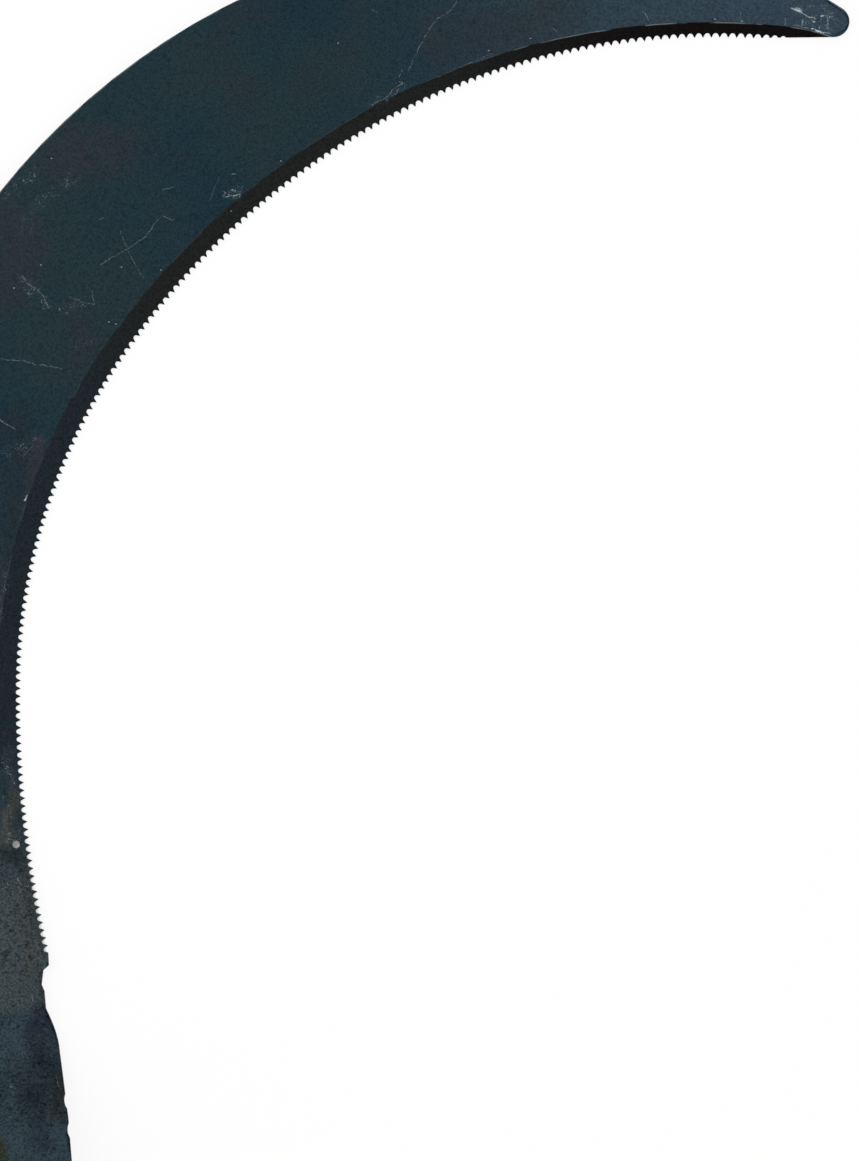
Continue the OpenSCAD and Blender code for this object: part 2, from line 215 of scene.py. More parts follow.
class Coats:
    """A material in the making, whose colours are laid one over another."""

    def __init__(self, name: str, lowest: str) -> None:
        """Starts the material.

        Args:
            name: The material's name.
            lowest: The hex colour below all others.
        """
        self.material = new_material(name)
        self.tree = self.material.node_tree
        metres = add_node(self.tree, "ShaderNodeTexCoord", out="Object")
        # The place on the piece, in the sickle's own frame and in millimetres
        self.place = add_node(self.tree, "ShaderNodeVectorMath", {0: metres, "Scale": 1 / MM},
                              operation="SCALE")
        self.colour: Value = linear(lowest)

    def lay(self, colour: str | Value, *masks: Value, blend: str = "MIX") -> None:
        """Lays a colour over those below.

        Args:
            colour: The colour, or its hex code.
            masks: How much of it shows, as values that limit each other.
            blend: How it is blended with what lies below.
        """
        over = linear(colour) if isinstance(colour, str) else colour
        shown = joined(self.tree, "MULTIPLY", *masks)
        self.colour = add_node(self.tree, "ShaderNodeMix",
                               {MIX_FACTOR: shown, MIX_UNDER: self.colour, MIX_OVER: over},
                               out=MIX_COLOUR, data_type="RGBA", blend_type=blend)

    def finish(self, roughness: Socket, metallic: float, relief: Value,
               relief_mm: float) -> bpy.types.Material:
        """Ends the material with its shader.

        Args:
            roughness: The roughness.
            metallic: 1 for a bare metal, 0 for anything else.
            relief: The pattern that the surface rises by.
            relief_mm: The rise that a pattern value of 1 stands for.

        Returns:
            The material.
        """
        normal = add_node(self.tree, "ShaderNodeBump", {"Height": relief, "Distance": relief_mm * MM},
                          out="Normal")
        surface = add_node(self.tree, "ShaderNodeBsdfPrincipled",
                           {"Base Color": self.colour, "Roughness": roughness, "Metallic": metallic,
                            "Normal": normal})
        add_node(self.tree, "ShaderNodeOutputMaterial", {"Surface": surface})
        return self.material


@dataclass(frozen=True)
class PhotoView:
    """The photograph's camera: square above the blade, turned a little about the vertical."""

    width_px: int = 859
    height_px: int = 1161
    mm_per_px: float = 0.225
    turn_deg: float = 5.0
    centre_mm: tuple[float, float] = (13.19, 57.86)
    lens_mm: float = 400.0
    sensor_mm: float = 36.0

    @property
    def away_mm(self) -> float:
        """Gives the camera's distance above the bench."""
        return self.height_px * self.mm_per_px * self.lens_mm / self.sensor_mm

    def point(self, x_px: float, y_px: float, height_mm: float = 0.0) -> tuple[float, float, float]:
        """Gives the place in plan of a point of the photograph.

        Args:
            x_px: Its distance from the photograph's left side.
            y_px: Its distance from the photograph's top.
            height_mm: Its height above the bench.

        Returns:
            The place in millimetres, with a height of 0.
        """
        scale = self.mm_per_px * (1 - height_mm / self.away_mm)
        across = (x_px - self.width_px / 2) * scale
        up = (self.height_px / 2 - y_px) * scale
        turn = math.radians(self.turn_deg)
        return (self.centre_mm[0] + across * math.cos(turn) + up * math.sin(turn),
                self.centre_mm[1] - across * math.sin(turn) + up * math.cos(turn), 0.0)

    def place(self) -> None:
        """Makes the scene's camera."""
        data = bpy.data.cameras.new("camera")
        data.lens, data.sensor_width = self.lens_mm, self.sensor_mm
        camera = bpy.data.objects.new("camera", data)
        bpy.context.scene.collection.objects.link(camera)
        camera.location = (self.centre_mm[0] * MM, self.centre_mm[1] * MM, self.away_mm * MM)
        camera.rotation_euler = (0, 0, -math.radians(self.turn_deg))
        bpy.context.scene.camera = camera
        log.info("camera %.2f m above the bench", self.away_mm * MM)


@dataclass(frozen=True)
class Stroke:
    """A mark on the blade, as a chain of points of the photograph."""

    points_px: tuple[tuple[float, float], ...]
    strength: float = 0.3
    width_mm: float = 0.22
    # The height of the surface that bears it
    height_mm: float = 2.0

    def mask(self, tree: Tree, place: Socket, view: PhotoView, soft: float) -> Value:
        """Gives how strongly the mark shows at a place.

        Args:
            tree: The material's node tree.
            place: The place in millimetres, without its height.
            view: The camera that the points are seen from.
            soft: Which share of the mark's half width fades out.

        Returns:
            The mark's mask.
        """
        half = self.width_mm / 2
        fade = Fade(half, half * (1 - soft), 0.0, self.strength)
        ends = [Vector(view.point(*p, self.height_mm)) for p in self.points_px]
        lines = []
        for start, end in zip(ends, ends[1:]):
            along = end - start
            seen = add_node(tree, "ShaderNodeVectorMath", {0: place, 1: tuple(start)}, operation="SUBTRACT")
            share = add_node(tree, "ShaderNodeVectorMath",
                             {0: seen, 1: tuple(along / along.length_squared)},
                             out="Value", operation="DOT_PRODUCT")
            share = add_node(tree, "ShaderNodeClamp", {"Value": share})
            foot = add_node(tree, "ShaderNodeVectorMath", {0: tuple(along), "Scale": share},
                            operation="SCALE")
            away = add_node(tree, "ShaderNodeVectorMath", {0: seen, 1: foot}, out="Value",
                            operation="DISTANCE")
            lines.append(fade.of(tree, away))
        return joined(tree, "MAXIMUM", *lines)


def drawn(tree: Tree, place: Socket, view: PhotoView, strokes: tuple[Stroke, ...], soft: float) -> Value:
    """Gives how strongly a set of marks shows at a place.

    Args:
        tree: The material's node tree.
        place: The place in millimetres, without its height.
        view: The camera that the marks' points are seen from.
        strokes: The marks.
        soft: Which share of a mark's half width fades out.

    Returns:
        The marks' mask.
    """
    return joined(tree, "MAXIMUM", *(stroke.mask(tree, place, view, soft) for stroke in strokes))


@dataclass(frozen=True)
class TintAndShade:
    """A colour that the heat gave to parts of the scale; two of them are painted shade instead."""

    colour: str
    strokes: tuple[Stroke, ...]
    # Whether its outline wanders, as a heat colour's does, or keeps to the blade's edge, as the painted shade
    # along the edges does
    wanders: bool = True


# The scratches that stand out, from the upper left of the blade to its tip and down to the neck, with one
# painted highlight along the arris near the tip
SCRATCHES_AND_HIGHLIGHT = (
    Stroke(((100, 265), (117, 255), (130, 247), (145, 237), (157, 220), (162, 216), (173, 220)), 0.24),
    Stroke(((120, 230), (128, 250), (136, 266), (144, 278)), 0.16),
    Stroke(((22, 275), (28, 284), (38, 290), (45, 300), (49, 308)), 0.18, 0.4),
    Stroke(((69, 297), (83, 302), (94, 304), (92, 290)), 0.18),
    Stroke(((0, 359), (22, 361), (38, 365), (50, 366), (63, 369)), 0.22),
    Stroke(((0, 420), (15, 429)), 0.22, 0.35),
    Stroke(((23, 457), (32, 447)), 0.16),
    Stroke(((225, 197), (240, 194)), 0.5, 0.35),
    Stroke(((230, 190), (236, 191)), 0.3, 0.35),
    Stroke(((230, 174), (235, 174)), 0.45, 0.28),
    Stroke(((210, 200), (220, 175)), 0.12),
    Stroke(((162, 190), (174, 187)), 0.18),
    Stroke(((99, 220), (103, 218)), 0.25),
    Stroke(((372, 105), (387, 97), (393, 90), (403, 82)), 0.34),
    Stroke(((395, 95), (400, 88)), 0.3),
    Stroke(((399, 77), (402, 70)), 0.25),
    Stroke(((408, 70), (413, 62), (420, 45), (430, 28), (438, 18), (448, 12), (457, 2)), 0.24),
    Stroke(((437, 77), (465, 65), (493, 53)), 0.18, 0.2),
    Stroke(((372, 10), (378, 13)), 0.16),
    Stroke(((553, 28), (558, 32)), 0.2),
    Stroke(((642, 11), (646, 14), (648, 20)), 0.32),
    Stroke(((741, 12), (741, 22)), 0.2),
    Stroke(((792, 8), (796, 9.5), (801, 12.5)), 0.9, 0.75),
    Stroke(((796, 7.5), (801, 11)), 0.55, 0.8),
    Stroke(((800, 12), (808, 17), (815, 18)), 0.6, 0.35),
    Stroke(((813, 20.5), (814.5, 21.5)), 0.85, 0.6),
    Stroke(((821, 16.5), (824, 15.5)), 0.8, 0.6),
    Stroke(((803, 20), (803, 27)), 0.35, 0.5),
    Stroke(((786, 18), (785, 24)), 0.25, 0.4),
    Stroke(((828, 17), (828, 28)), 0.35, 0.4),
    Stroke(((819, 26), (819, 29)), 0.35, 0.4),
    Stroke(((826, 28), (831, 30)), 0.3, 0.4),
    Stroke(((795, 25), (808, 28)), 0.3, 0.3),
    # A painted highlight along the arris near the tip, and its tail
    Stroke(((812, 28.5), (818, 31), (824, 33)), 1.0, 0.45),
    Stroke(((824, 33), (831, 34)), 0.35, 0.4),
    Stroke(((25, 500.5), (27, 495.5)), 0.8, 0.5),
    Stroke(((17, 878), (22, 886), (28, 887)), 0.22, 0.35),
    Stroke(((32, 994), (33, 1001)), 0.16),
    Stroke(((8, 1086), (13, 1088)), 0.25, 0.4, 10.0),
    Stroke(((56, 1076), (60, 1089)), 0.12, 0.5, 10.0),
)
# Where fine dust of rubbed scale lies, as broad strokes
DUST = (
    Stroke(((7, 196), (30, 177)), 0.3, 4.0),
    Stroke(((25, 183), (33, 174)), 0.4, 2.5),
    Stroke(((24, 228), (44, 200), (70, 180)), 0.15, 6.0),
    Stroke(((228, 194), (238, 196)), 0.5, 3.0),
    Stroke(((62, 309), (78, 306)), 0.35, 3.0),
    Stroke(((82, 344), (92, 343)), 0.3, 3.0),
    Stroke(((22, 278), (45, 302)), 0.25, 4.0),
    Stroke(((375, 103), (402, 86)), 0.35, 3.0),
    Stroke(((812, 22), (828, 22)), 0.4, 5.5),
    Stroke(((814, 6), (822, 14)), 0.35, 4.0),
    Stroke(((792, 6), (808, 22)), 0.2, 5.0),
    Stroke(((8, 455), (38, 440)), 0.2, 6.0),
    Stroke(((3, 562), (4, 625)), 0.3, 2.5),
    Stroke(((5, 760), (14, 785)), 0.45, 3.0),
    Stroke(((6, 800), (14, 838)), 0.35, 4.0),
    Stroke(((2, 885), (28, 890)), 0.25, 6.0),
    Stroke(((5, 1085), (14, 1089)), 0.35, 2.5, 10.0),
)
# Single bright specks, drawn as strokes shorter than a pixel
SPECKS_PX = ((51.5, 158.4), (14, 288), (121.5, 267), (161, 270), (116, 324), (109, 322), (41, 265), (338, 43),
             (281, 161), (231, 211), (488.7, 50.5), (530.5, 38.3), (715, 19), (742, 21))
HALF_SPECK_PX = 0.4
SPECKS = tuple(Stroke(((x - HALF_SPECK_PX, y), (x + HALF_SPECK_PX, y)), strength=0.55, width_mm=0.3)
               for x, y in SPECKS_PX)
# The scale's colours, where they leave the blade's blue: from the crown down to the neck, with painted shade
# on the neck's right side, then painted shade along the edges
TINTS_AND_SHADES = (
    TintAndShade("#262b30", (
        Stroke(((10, 218), (30, 248), (6, 290)), 0.8, 15.0),
        Stroke(((60, 160), (110, 150)), 0.8, 18.0),
        Stroke(((480, 92), (505, 84)), 0.7, 14.0),
        Stroke(((66, 308), (78, 306)), 0.5, 5.0),
        Stroke(((440, 40), (560, 16)), 0.6, 16.0),
    )),
    TintAndShade("#1e272c", (
        Stroke(((0, 430), (20, 410), (16, 500), (6, 560)), 0.8, 7.0),
        Stroke(((6, 680), (4, 715)), 0.6, 6.0),
    )),
    TintAndShade("#2a2c30", (
        Stroke(((40, 440), (33, 480), (24, 540), (20, 590)), 0.8, 4.0),
        Stroke(((2, 565), (2, 625)), 0.7, 4.0),
        Stroke(((0, 728), (10, 735)), 0.8, 5.0),
    )),
    TintAndShade("#313842", (
        Stroke(((9, 755), (13, 785)), 0.9, 6.0),
        Stroke(((16, 872), (20, 890)), 0.5, 6.0),
    )),
    TintAndShade("#3a3d3a", (
        Stroke(((14, 792), (9, 815), (8, 838)), 0.9, 4.5),
    )),
    TintAndShade("#1f2729", (
        Stroke(((0, 852), (14, 858)), 0.9, 7.0),
        Stroke(((2, 875), (10, 885)), 0.4, 6.0),
    )),
    TintAndShade("#33342f", (
        Stroke(((22, 880), (30, 930), (34, 975)), 0.4, 7.0),
    )),
    TintAndShade("#232728", (
        Stroke(((40, 975), (44, 1000)), 0.8, 3.0),
        Stroke(((56, 1080), (62, 1112)), 0.9, 7.0, 10.0),
    )),
    # Painted shade, mostly on the neck's right side where it turns away from the light
    TintAndShade("#1b2129", (
        Stroke(((44, 1016), (36, 1030), (40, 1056), (50, 1062)), 0.95, 9.5, 7.0),
        Stroke(((32, 1096), (42, 1140)), 0.7, 8.0, 13.0),
        Stroke(((2, 962), (4, 957)), 0.6, 2.0),
        Stroke(((47, 1016), (51, 1036), (55, 1056)), 0.8, 5.0, 7.0),
    )),
    TintAndShade("#30444b", (
        Stroke(((4, 1062), (8, 1112)), 0.3, 6.0, 10.0),
    )),
    TintAndShade("#25271d", (
        Stroke(((0, 1142), (4, 1158)), 0.9, 4.0, 15.0),
    )),
    # Painted shade: a thin dark line along the neck's right edge and round the nose
    TintAndShade("#12161c", (
        Stroke(((44, 1006), (49, 1018), (55, 1033)), 1.0, 1.3, 4.5),
        Stroke(((55, 1033), (60, 1050), (62, 1068)), 1.0, 1.3, 9.0),
        Stroke(((62, 1068), (65, 1095), (69, 1122), (68, 1130), (70, 1146), (73, 1161)), 1.0, 1.3, 15.0),
        Stroke(((827, 1), (836, 7), (843, 12), (848, 18), (849, 24), (845, 30), (838, 34), (833, 36)),
               0.75, 0.8, 1.0),
    ), wanders=False),
)


@dataclass(frozen=True)
class ForgeBluedSteel:
    """Carbon steel, forged and left in its blue-black scale.

    The scale gives the eye a dark satin blue with cloudy patches; it is lighter towards the tip, greener and
    coarser on the neck, and near black on the ground side of the edge, a painted dark reflection. Painted
    shade darkens the neck past its bend, its right side and the nose's outline; painted highlights run along
    the back and the grind.
    """

    blue: str = "#192932"
    teal: str = "#1f2d31"
    violet: str = "#24282d"
    tip: str = "#2f3d48"
    neck: str = "#363d3f"
    neck_bend_shade: str = "#283339"
    # The ground side's near black, greyer at the crown and bluer at the heel, is a painted dark reflection
    ground: str = "#130f0f"
    ground_crown: str = "#202222"
    ground_heel: str = "#20272d"
    # Bare steel's colour, for the real wear marks and also for the painted highlights along the back and the
    # grind
    bare: str = "#b4c0c4"
    # Where the other colours of the scale show in its blue
    teal_clouds: Patches = Patches(Grain(45.0), Fade(0.35, 0.65))
    violet_patches: Patches = Patches(Grain(14.0, 4.0), Fade(0.5, 0.75, 0.0, 0.6))
    tip_patches: Patches = Patches(Grain(5.0, 4.0), Fade(0.2, 0.7, 0.75, 1.0))
    neck_patches: Patches = Patches(Grain(14.0, 4.0), Fade(0.25, 0.6, 0.75, 1.0))
    # How the heat's colours and the painted shades stray and cover, and how soft their outlines are
    tint_stray: Stray = Stray(Grain(4.667, 4.0), (5.0, 5.0, 0.0))
    tint_cover: Patches = Patches(Grain(3.5, 5.0), Fade(0.3, 0.6, 0.5, 1.0))
    tint_soft: float = 0.8
    # How the scratches and the painted highlight near the tip stray and break off, and how soft they and the
    # other marks are
    scratch_and_highlight_stray: Stray = Stray(Grain(1.6, 4.0), (0.9, 0.9, 0.0))
    scratch_and_highlight_gaps: Patches = Patches(Grain(0.5), Fade(0.38, 0.6, 0.15, 1.0))
    mark_soft: float = 1.0
    # How the dust strays, its grains and how they lie together
    dust_stray: Stray = Stray(Grain(4.0, 4.0), (7.0, 7.0, 0.0))
    dust_grains: Patches = Patches(Grain(0.3, 4.0), Fade(0.53, 0.68))
    dust_clumps: Patches = Patches(Grain(1.6), Fade(0.42, 0.6, 0.1, 1.0))
    # Fine specks that are strewn over parts of the blade
    speck_mm: float = 0.13
    speck_gap_mm: float = 4.0
    speck_strength: float = 0.35
    speck_fields: Patches = Patches(Grain(12.0), Fade(0.5, 0.6))
    # The scale's own grain is about 0.2 mm, and is drawn a little coarser so that it shows
    scale_grain: Grain = Grain(0.45, 4.0)
    neck_grain: Grain = Grain(0.5, 6.0)
    # How far the neck's coarser grain takes over, off the neck and on it
    coarseness: Fade = Fade(0.0, 1.0, 0.35, 1.0)
    # How the grain lightens and darkens, and how far off the neck and on it
    mottle: Fade = Fade(0.32, 0.68, -1.0, 1.0)
    mottle_depth: float = 0.34
    neck_mottle_depth: float = 0.46
    # Dark pocks, which are strongest on the neck
    pocks: Patches = Patches(Grain(1.5, 4.0), Fade(0.58, 0.7, 0.0, 0.55))
    # Where the painted highlights along the back and the grind break off, and how bright the back's one is;
    # how bright the grind's one is along X
    back_highlight_gaps: Patches = Patches(Grain(4.0), Fade(0.35, 0.6))
    back_highlight_strength: float = 0.16
    arris_highlight_gaps: Patches = Patches(Grain(5.0), Fade(0.42, 0.6))
    arris_highlight_strength: Fade = Fade(20.0, 70.0, 0.05, 0.3)
    # From the grain's low places to its high ones
    roughness: Fade = Fade(0.3, 0.7, 0.40, 0.54)
    relief_mm: float = 0.04

    def lay_scale(self, coats: Coats, blade: "Blade", x: Socket, y: Socket, on_neck: Value) -> None:
        """Lays the scale's own colours, and painted shade on the neck past its bend.

        Args:
            coats: The material in the making.
            blade: The blade, for where its zones lie.
            x: The place along X in millimetres.
            y: The place along Y in millimetres.
            on_neck: How far a place belongs to the neck.
        """
        tree, place = coats.tree, coats.place
        coats.lay(self.teal, self.teal_clouds.on(tree, place))
        coats.lay(self.violet, self.violet_patches.on(tree, place))
        # The scale is lighter towards the tip, in patches
        coats.lay(self.tip, blade.tip_lightening.of(tree, x), self.tip_patches.on(tree, place))
        # The neck's colour, painted darker and bluer past the bend as shade of its slope
        neck = add_node(tree, "ShaderNodeMix",
                        {MIX_FACTOR: blade.bend.of(tree, y), MIX_UNDER: linear(self.neck),
                         MIX_OVER: linear(self.neck_bend_shade)},
                        out=MIX_COLOUR, data_type="RGBA")
        coats.lay(neck, on_neck)

    def lay_tints_and_shades(self, coats: Coats, flat: Socket, view: PhotoView) -> None:
        """Lays the colours that the heat gave over the scale's own, and painted shade on the neck's right
        side and along the edges.

        Args:
            coats: The material in the making.
            flat: The place in millimetres, without its height.
            view: The camera that the tints are seen from.
        """
        strayed = self.tint_stray.of(coats.tree, flat)
        cover = self.tint_cover.on(coats.tree, coats.place)
        for tint_and_shade in TINTS_AND_SHADES:
            seen_at = strayed if tint_and_shade.wanders else flat
            coats.lay(tint_and_shade.colour, drawn(coats.tree, seen_at, view, tint_and_shade.strokes, self.tint_soft), cover)

    def lay_ground_reflection(self, coats: Coats, blade: "Blade", x: Socket, ground: Value) -> None:
        """Lays the colours of the ground side of the edge, from the tip to the heel: a painted dark
        reflection, near black at the tip, greyer at the crown and bluer at the heel.

        Args:
            coats: The material in the making.
            blade: The blade, for where its zones lie.
            x: The place along X in millimetres.
            ground: How far a place belongs to the ground side.
        """
        dark_reflection: Value = linear(self.ground)
        for colour, zone in ((self.ground_crown, blade.dark), (self.ground_heel, blade.crown)):
            dark_reflection = add_node(coats.tree, "ShaderNodeMix",
                             {MIX_FACTOR: zone.of(coats.tree, x), MIX_UNDER: dark_reflection, MIX_OVER: linear(colour)},
                             out=MIX_COLOUR, data_type="RGBA")
        coats.lay(dark_reflection, ground)

    def lay_grain(self, coats: Coats, on_neck: Value) -> Socket:
        """Lightens and darkens the colours by the scale's grain and pocks.

        Args:
            coats: The material in the making.
            on_neck: How far a place belongs to the neck.

        Returns:
            The grain, from 0 to 1.
        """
        tree, place = coats.tree, coats.place
        coarse = self.coarseness.of(tree, on_neck)
        grain = add_node(tree, "ShaderNodeMix",
                         {MIX_FACTOR: coarse, MIX_LOW: self.scale_grain.on(tree, place),
                          MIX_HIGH: self.neck_grain.on(tree, place)},
                         data_type="FLOAT")
        depth = Fade(self.coarseness.first, self.coarseness.last, self.mottle_depth, self.neck_mottle_depth)
        light = add_node(tree, "ShaderNodeMath",
                         {0: self.mottle.of(tree, grain), 1: depth.of(tree, coarse), 2: 1.0},
                         operation="MULTIPLY_ADD")
        pocks = joined(tree, "MULTIPLY", coarse, self.pocks.on(tree, place))
        light = joined(tree, "MULTIPLY", light, joined(tree, "SUBTRACT", 1.0, pocks))
        coats.lay(light, 1.0, blend="MULTIPLY")
        return grain

    def marks(self, coats: Coats, flat: Socket, view: PhotoView) -> Value:
        """Gives how much bare steel the scratches, the dust and the specks show, with one painted highlight
        near the tip among the scratches.

        Args:
            coats: The material in the making.
            flat: The place in millimetres, without its height.
            view: The camera that the marks are seen from.

        Returns:
            The marks' mask.
        """
        tree, place = coats.tree, coats.place
        scratches_and_highlight = joined(tree, "MULTIPLY",
                           drawn(tree, self.scratch_and_highlight_stray.of(tree, flat), view, SCRATCHES_AND_HIGHLIGHT, self.mark_soft),
                           self.scratch_and_highlight_gaps.on(tree, place))
        dust = joined(tree, "MULTIPLY",
                      drawn(tree, self.dust_stray.of(tree, flat), view, DUST, self.mark_soft),
                      self.dust_grains.on(tree, place), self.dust_clumps.on(tree, place))
        specks = drawn(tree, flat, view, SPECKS, self.mark_soft)
        away = add_node(tree, "ShaderNodeTexVoronoi", {"Vector": flat, "Scale": 1 / self.speck_gap_mm})
        strewn = joined(tree, "MULTIPLY",
                        Fade(self.speck_mm / self.speck_gap_mm, 0.0, 0.0, self.speck_strength).of(tree, away),
                        self.speck_fields.on(tree, place))
        return joined(tree, "MAXIMUM", scratches_and_highlight, dust, specks, strewn)

    def build(self, blade: "Blade", view: PhotoView) -> bpy.types.Material:
        """Makes the material.

        Args:
            blade: The blade, for where its zones and its painted highlight lines lie.
            view: The photograph's camera.

        Returns:
            The material.
        """
        coats = Coats("carbon_steel_forge_blued", self.blue)
        tree, place = coats.tree, coats.place
        flat = add_node(tree, "ShaderNodeVectorMath", {0: place, 1: (1.0, 1.0, 0.0)}, operation="MULTIPLY")
        x, y, z = add_node(tree, "ShaderNodeSeparateXYZ", {0: place}).node.outputs
        normal = add_node(tree, "ShaderNodeNewGeometry", out="Normal")
        lean = add_node(tree, "ShaderNodeSeparateXYZ", {0: normal}, out="Z")
        on_neck = joined(tree, "MULTIPLY", blade.neck.of(tree, y), self.neck_patches.on(tree, place))
        facing_up = blade.up_lean.of(tree, lean)
        ground = joined(tree, "MULTIPLY", blade.grind_lean.of(tree, lean), blade.wall_lean.of(tree, lean),
                        blade.ground_end.of(tree, y))

        self.lay_scale(coats, blade, x, y, on_neck)
        self.lay_tints_and_shades(coats, flat, view)
        self.lay_ground_reflection(coats, blade, x, ground)
        grain = self.lay_grain(coats, on_neck)
        # Real scratches, dust and specks, with one painted highlight near the tip
        worn_and_highlit = joined(tree, "MULTIPLY", facing_up, self.marks(coats, flat, view))
        # Painted highlight: a thin light line along the back's upper edge
        edge = joined(tree, "MULTIPLY", facing_up, blade.back_highlight_line(tree, x, y), blade.back.of(tree, y),
                      self.back_highlight_gaps.on(tree, place), self.back_highlight_strength)
        # Painted highlight: a thin light line along the grind under the flat
        arris_highlight = joined(tree, "MULTIPLY", ground, blade.arris_highlight_line(tree, x, z),
                       self.arris_highlight_gaps.on(tree, place), self.arris_highlight_strength.of(tree, x))
        coats.lay(self.bare, joined(tree, "MAXIMUM", edge, arris_highlight, worn_and_highlit))
        return coats.finish(self.roughness.of(tree, grain), 1.0, grain, self.relief_mm)


def wear(piece: bpy.types.Object, material: bpy.types.Material) -> None:
    """Gives a piece one finish all over.

    Args:
        piece: The piece.
        material: The finish.
    """
    piece.data.materials.clear()
    piece.data.materials.append(material)
    log.info("%s: %s", piece.name, material.name)


@dataclass
class Blade:
    """The forged blade with its toothed edge, neck and tang."""

    # Radius of the back's long arc, and of the arc that drops to the nose past an angle
    back_r: float = 156.4
    drop_r: float = 100.0
    drop_from_deg: float = 73.2
    # Thickness at the handle's axis, and how it falls along X
    thickness: float = 2.1
    taper: float = 0.0034
    axis_x: float = -87.34
    # Along X: where the scale is lighter towards the tip, and where the ground side's painted dark reflection
    # turns grey and then blue
    tip_lightening: Fade = Fade(-10.0, 115.0)
    dark: Fade = Fade(85.0, 5.0)
    crown: Fade = Fade(-40.0, -70.0)
    # Along Y: the neck, the bend past which the neck is painted darker and bluer as shade of its slope, the
    # back's painted highlight and the ground side's end
    neck: Fade = Fade(24.0, -8.0)
    bend: Fade = Fade(-29.0, -32.0)
    back: Fade = Fade(0.0, 15.0)
    ground_end: Fade = Fade(12.0, 48.0)
    # By how upright the surface's normal is: the grind, which is no flat and no wall, and what faces up
    grind_lean: Fade = Fade(0.99, 0.975)
    wall_lean: Fade = Fade(0.85, 0.93)
    up_lean: Fade = Fade(0.5, 0.8)
    # Width of the painted highlight along the back, and the length in which one arc's highlight gives way to
    # the next's
    line_mm: float = 0.35
    change_mm: float = 1.0
    # How far under the flat the painted highlight along the grind shows
    arris_highlight: Fade = Fade(0.08, 0.03)

    def back_highlight_line(self, tree: Tree, x: Socket, y: Socket) -> Socket:
        """Gives a painted highlight: a thin line along the back's upper edge.

        Args:
            tree: The material's node tree.
            x: The place along X in millimetres.
            y: The place along Y in millimetres.

        Returns:
            The highlight's mask.
        """
        low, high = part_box("blade")
        centre = Vector((low.x / MM + self.back_r, high.y / MM - self.back_r, 0))
        turn = math.radians(self.drop_from_deg)
        toward = Vector((math.cos(turn), math.sin(turn), 0))
        drop = centre + (self.back_r - self.drop_r) * toward
        plan = add_node(tree, "ShaderNodeCombineXYZ", {"X": x, "Y": y})
        lines = []
        for middle, radius in ((centre, self.back_r), (drop, self.drop_r)):
            away = add_node(tree, "ShaderNodeVectorMath", {0: plan, 1: tuple(middle)}, out="Value",
                            operation="DISTANCE")
            inside = Fade(radius - self.line_mm, radius - self.line_mm / 2)
            outside = Fade(radius + self.line_mm, radius)
            lines.append(joined(tree, "MULTIPLY", inside.of(tree, away), outside.of(tree, away)))
        drop_x = (centre + self.back_r * toward).x
        return add_node(tree, "ShaderNodeMix",
                        {MIX_FACTOR: Fade(drop_x, drop_x + self.change_mm).of(tree, x),
                         MIX_LOW: lines[0], MIX_HIGH: lines[1]},
                        data_type="FLOAT")

    def arris_highlight_line(self, tree: Tree, x: Socket, z: Socket) -> Socket:
        """Gives a painted highlight: a thin line on the grind, along the upper flat.

        Args:
            tree: The material's node tree.
            x: The place along X in millimetres.
            z: The height in millimetres.

        Returns:
            The highlight's mask.
        """
        top = add_node(tree, "ShaderNodeMath",
                       {0: x, 1: -self.taper, 2: self.thickness + self.taper * self.axis_x},
                       operation="MULTIPLY_ADD")
        return self.arris_highlight.of(tree, joined(tree, "SUBTRACT", top, z))

    def dress(self, view: PhotoView) -> None:
        """Gives the blade its finish, as the photograph's camera sees it."""
        wear(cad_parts["blade"], ForgeBluedSteel().build(self, view))


